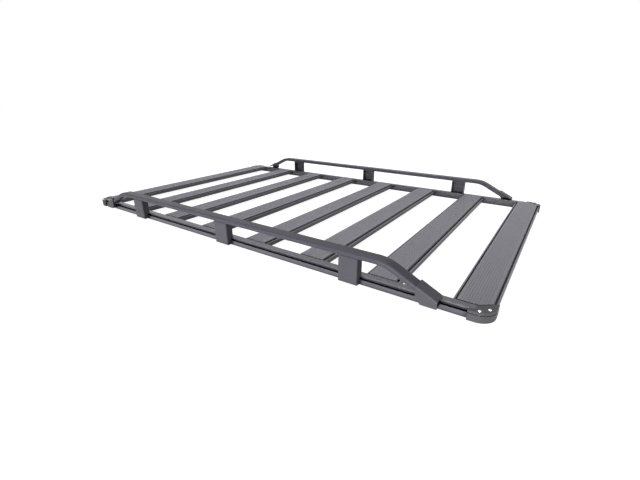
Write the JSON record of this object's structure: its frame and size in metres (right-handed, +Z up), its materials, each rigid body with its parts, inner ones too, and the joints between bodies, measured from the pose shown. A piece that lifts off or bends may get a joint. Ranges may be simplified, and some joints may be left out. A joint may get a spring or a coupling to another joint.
{
  "type": "flat platform roof rack",
  "caption": "Flat slatted roof platform with slotted side profiles, rounded corner caps and a low bent rail along each side.",
  "frame": {"origin": "centre of the rack's outline, on the level of the undersides of the side profiles", "axes": "+X along the rack towards its front, +Y across it to the left, +Z up"},
  "size_m": [1.786, 1.1556, 0.1044],
  "materials": {
    "deck_grey": "satin powder coat on extruded aluminium",
    "rail_black": "satin black powder coat",
    "cap_black": "fine-grained moulded plastic"
  },
  "bodies": {
    "root": {"slat_1": "deck_grey", "slat_2": "deck_grey", "slat_3": "deck_grey", "slat_4": "deck_grey", "slat_5": "deck_grey", "slat_6": "deck_grey", "slat_7": "deck_grey", "slat_8": "deck_grey", "side_profile_right": "deck_grey", "rail_right": "rail_black", "post_right_rear": "rail_black", "post_right_middle": "rail_black", "post_right_front": "rail_black", "foot_rear_right": "rail_black", "corner_rear_right": "cap_black", "foot_front_right": "rail_black", "corner_front_right": "cap_black", "side_profile_left": "deck_grey", "rail_left": "rail_black", "post_left_rear": "rail_black", "post_left_middle": "rail_black", "post_left_front": "rail_black", "foot_rear_left": "rail_black", "corner_rear_left": "cap_black", "foot_front_left": "rail_black", "corner_front_left": "cap_black"}
  },
  "joints": []
}
